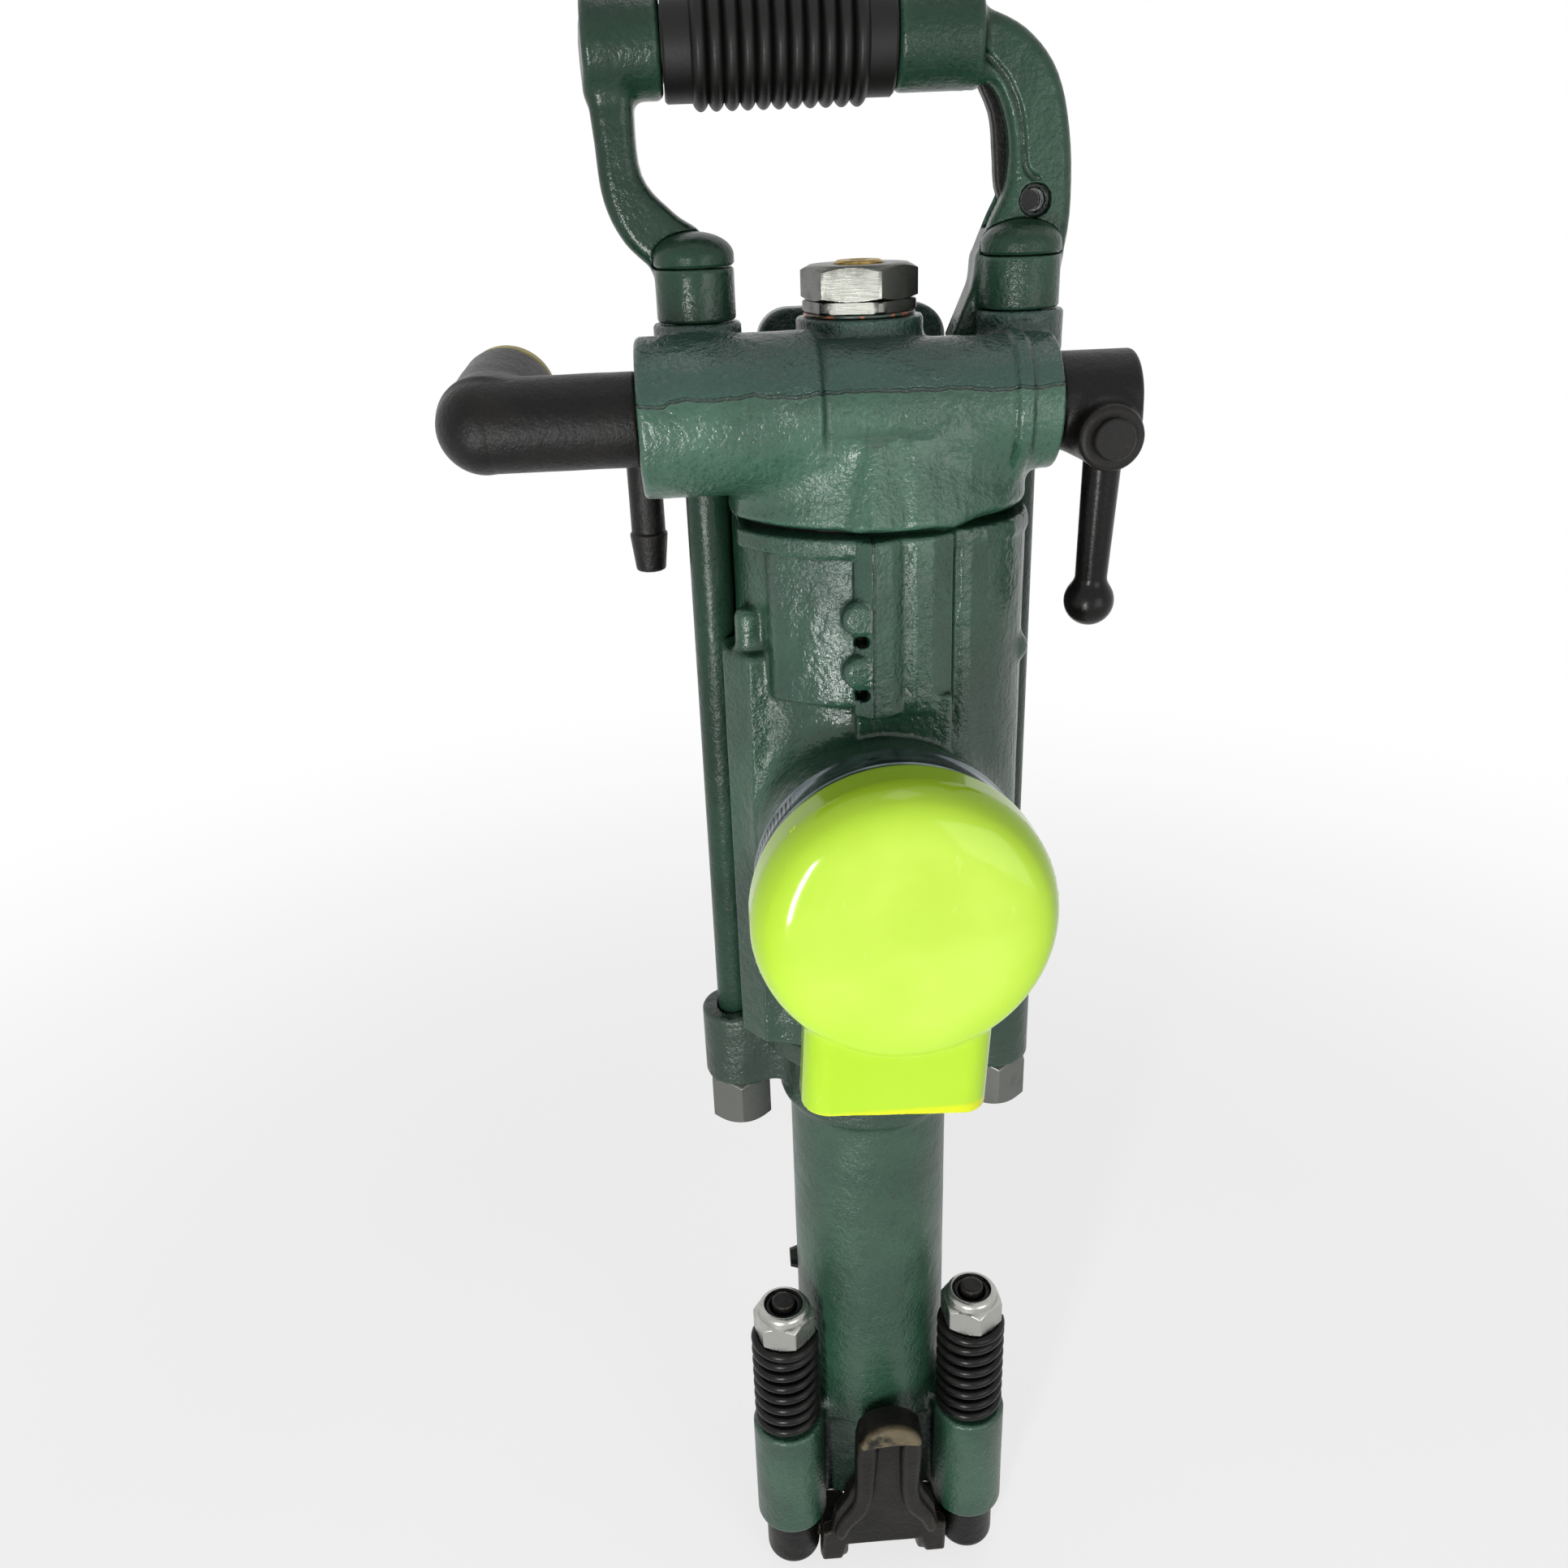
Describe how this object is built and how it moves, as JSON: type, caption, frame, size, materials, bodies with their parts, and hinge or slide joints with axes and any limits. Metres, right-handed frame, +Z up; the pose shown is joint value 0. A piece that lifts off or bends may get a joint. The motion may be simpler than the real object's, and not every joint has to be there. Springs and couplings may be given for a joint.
{
  "type": "pneumatic rock drill",
  "caption": "Hand-held pneumatic rock drill with a D-handle, throttle lever, air elbow, round muffler and sprung steel retainer.",
  "frame": {"origin": "centre of the nose face, where the drill steel goes in", "axes": "+Z up along the drill axis to the handle, -Y towards the muffler, -X towards the air elbow"},
  "size_m": [0.229, 0.178, 0.661],
  "materials": {
    "green_paint": "glossy hammered paint on castings",
    "black_casting": "blackened, slightly speckled",
    "bare_steel": "machined",
    "zinc_plate": "bright plated",
    "bronze": "machined",
    "copper": "soft copper washer",
    "rubber": "satin black",
    "lime_plastic": "glossy, slightly translucent",
    "yellow_plastic": "satin"
  },
  "bodies": {
    "drill_body": {"front_head": "green_paint", "cylinder": "green_paint", "back_head": "green_paint", "head_side_plug": "black_casting", "side_bolt_left": "green_paint", "side_bolt_right": "green_paint", "side_nut_left": "zinc_plate", "side_nut_right": "zinc_plate", "front_head_bush": "bronze", "guide_bush": "bronze", "ratchet_ring": "bare_steel", "valve_cover": "bare_steel", "valve_chest": "bare_steel", "needle_plug": "zinc_plate", "plug_washer": "copper", "plug_core": "bronze", "water_needle": "bare_steel", "needle_seal": "rubber", "handle_left_arm": "green_paint", "handle_right_arm": "green_paint", "handle_bar": "bare_steel", "grip_sleeve": "rubber", "trigger_pin": "bare_steel", "elbow_seal": "rubber", "water_nozzle": "black_casting"},
    "chuck": {"rotation_sleeve": "bare_steel", "chuck_bush": "bare_steel", "spline_nut": "bronze"},
    "hammer": {"piston": "bare_steel", "rifle_nut": "bronze"},
    "rifle": {"rifle_bar": "bare_steel"},
    "pawl_one": {"pawl_1": "bare_steel"},
    "pawl_two": {"pawl_2": "bare_steel"},
    "pawl_three": {"pawl_3": "bare_steel"},
    "pawl_four": {"pawl_4": "bare_steel"},
    "air_valve": {"distribution_valve": "bare_steel"},
    "throttle": {"throttle_valve": "bare_steel", "lever_hub": "black_casting", "lever_pin": "bare_steel", "lever_rod": "black_casting"},
    "elbow": {"air_elbow": "black_casting"},
    "cap": {"elbow_cap": "yellow_plastic"},
    "trigger": {"trigger": "black_casting"},
    "plunger": {"retract_plunger": "bare_steel"},
    "muffler": {"muffler": "lime_plastic", "muffler_clamp": "zinc_plate", "clamp_screw": "zinc_plate"},
    "retainer_bolts": {"retainer_bolt_left": "black_casting", "retainer_bolt_right": "black_casting", "retainer_nut_left": "zinc_plate", "retainer_nut_right": "zinc_plate", "retainer_spring_left": "black_casting", "retainer_spring_right": "black_casting"},
    "steel_retainer": {"retainer": "black_casting"}
  },
  "joints": [
    {"name": "chuck_spin", "type": "hinge", "parent": "drill_body", "child": "chuck", "pos_m": [0, 0, 0.1], "axis": [0, 0, 1], "continuous": true},
    {"name": "piston_slide", "type": "slide", "parent": "chuck", "child": "hammer", "axis": [0, 0, 1], "range_m": [0, 0.06]},
    {"name": "rifle_turn", "type": "hinge", "parent": "drill_body", "child": "rifle", "pos_m": [0, 0, 0.46], "axis": [0, 0, -1], "range_deg": [0, 30]},
    {"name": "valve_slide", "type": "slide", "parent": "drill_body", "child": "air_valve", "axis": [0, 0, 1], "range_m": [0, 0.003]},
    {"name": "throttle_turn", "type": "hinge", "parent": "drill_body", "child": "throttle", "pos_m": [0, -0.024, 0.5041], "axis": [1, 0, 0], "range_deg": [-100, 0]},
    {"name": "elbow_swivel", "type": "hinge", "parent": "drill_body", "child": "elbow", "pos_m": [-0.06, -0.024, 0.5041], "axis": [1, 0, 0], "range_deg": [-60, 90]},
    {"name": "cap_pull", "type": "slide", "parent": "elbow", "child": "cap", "axis": [0, 0.9903, 0.1392], "range_m": [0, 0.03]},
    {"name": "trigger_pull", "type": "hinge", "parent": "drill_body", "child": "trigger", "pos_m": [0.0566, 0.012, 0.5642], "axis": [0, 1, 0], "range_deg": [0, 7], "stiffness_Nm_per_rad": 0.5, "springref_deg": -5.73},
    {"name": "plunger_slide", "type": "slide", "parent": "drill_body", "child": "plunger", "axis": [1, 0, 0], "range_m": [0, 0.0023]},
    {"name": "muffler_turn", "type": "hinge", "parent": "drill_body", "child": "muffler", "pos_m": [0, -0.07, 0.358], "axis": [0, 1, 0], "range_deg": [-90, 90]},
    {"name": "retainer_bolts_slide", "type": "slide", "parent": "drill_body", "child": "retainer_bolts", "axis": [0, 0, -1], "range_m": [0, 0.004], "stiffness_N_per_m": 8000, "springref_m": -0.01, "deforming": ["retainer_spring_left", "retainer_spring_right"]},
    {"name": "retainer_swing", "type": "hinge", "parent": "retainer_bolts", "child": "steel_retainer", "pos_m": [0, -0.029, -0.015], "axis": [1, 0, 0], "range_deg": [0, 100]},
    {"name": "pawl_one_swing", "type": "hinge", "parent": "rifle", "child": "pawl_one", "pos_m": [0.0184, 0, 0.4616], "axis": [0, 0, 1], "range_deg": [0, 25]},
    {"name": "pawl_two_swing", "type": "hinge", "parent": "rifle", "child": "pawl_two", "pos_m": [0, 0.0184, 0.4616], "axis": [0, 0, 1], "range_deg": [0, 25]},
    {"name": "pawl_three_swing", "type": "hinge", "parent": "rifle", "child": "pawl_three", "pos_m": [-0.0184, 0, 0.4616], "axis": [0, 0, 1], "range_deg": [0, 25]},
    {"name": "pawl_four_swing", "type": "hinge", "parent": "rifle", "child": "pawl_four", "pos_m": [0, -0.0184, 0.4616], "axis": [0, 0, 1], "range_deg": [0, 25]}
  ],
  "couplings": [
    {"joint": "rifle_turn", "follows": "piston_slide", "rad_per_m": 8.7266},
    {"joint": "plunger_slide", "follows": "trigger_pull", "m_per_rad": 0.018},
    {"joint": "pawl_two_swing", "follows": "pawl_one_swing", "ratio": 1},
    {"joint": "pawl_three_swing", "follows": "pawl_one_swing", "ratio": 1},
    {"joint": "pawl_four_swing", "follows": "pawl_one_swing", "ratio": 1}
  ]
}
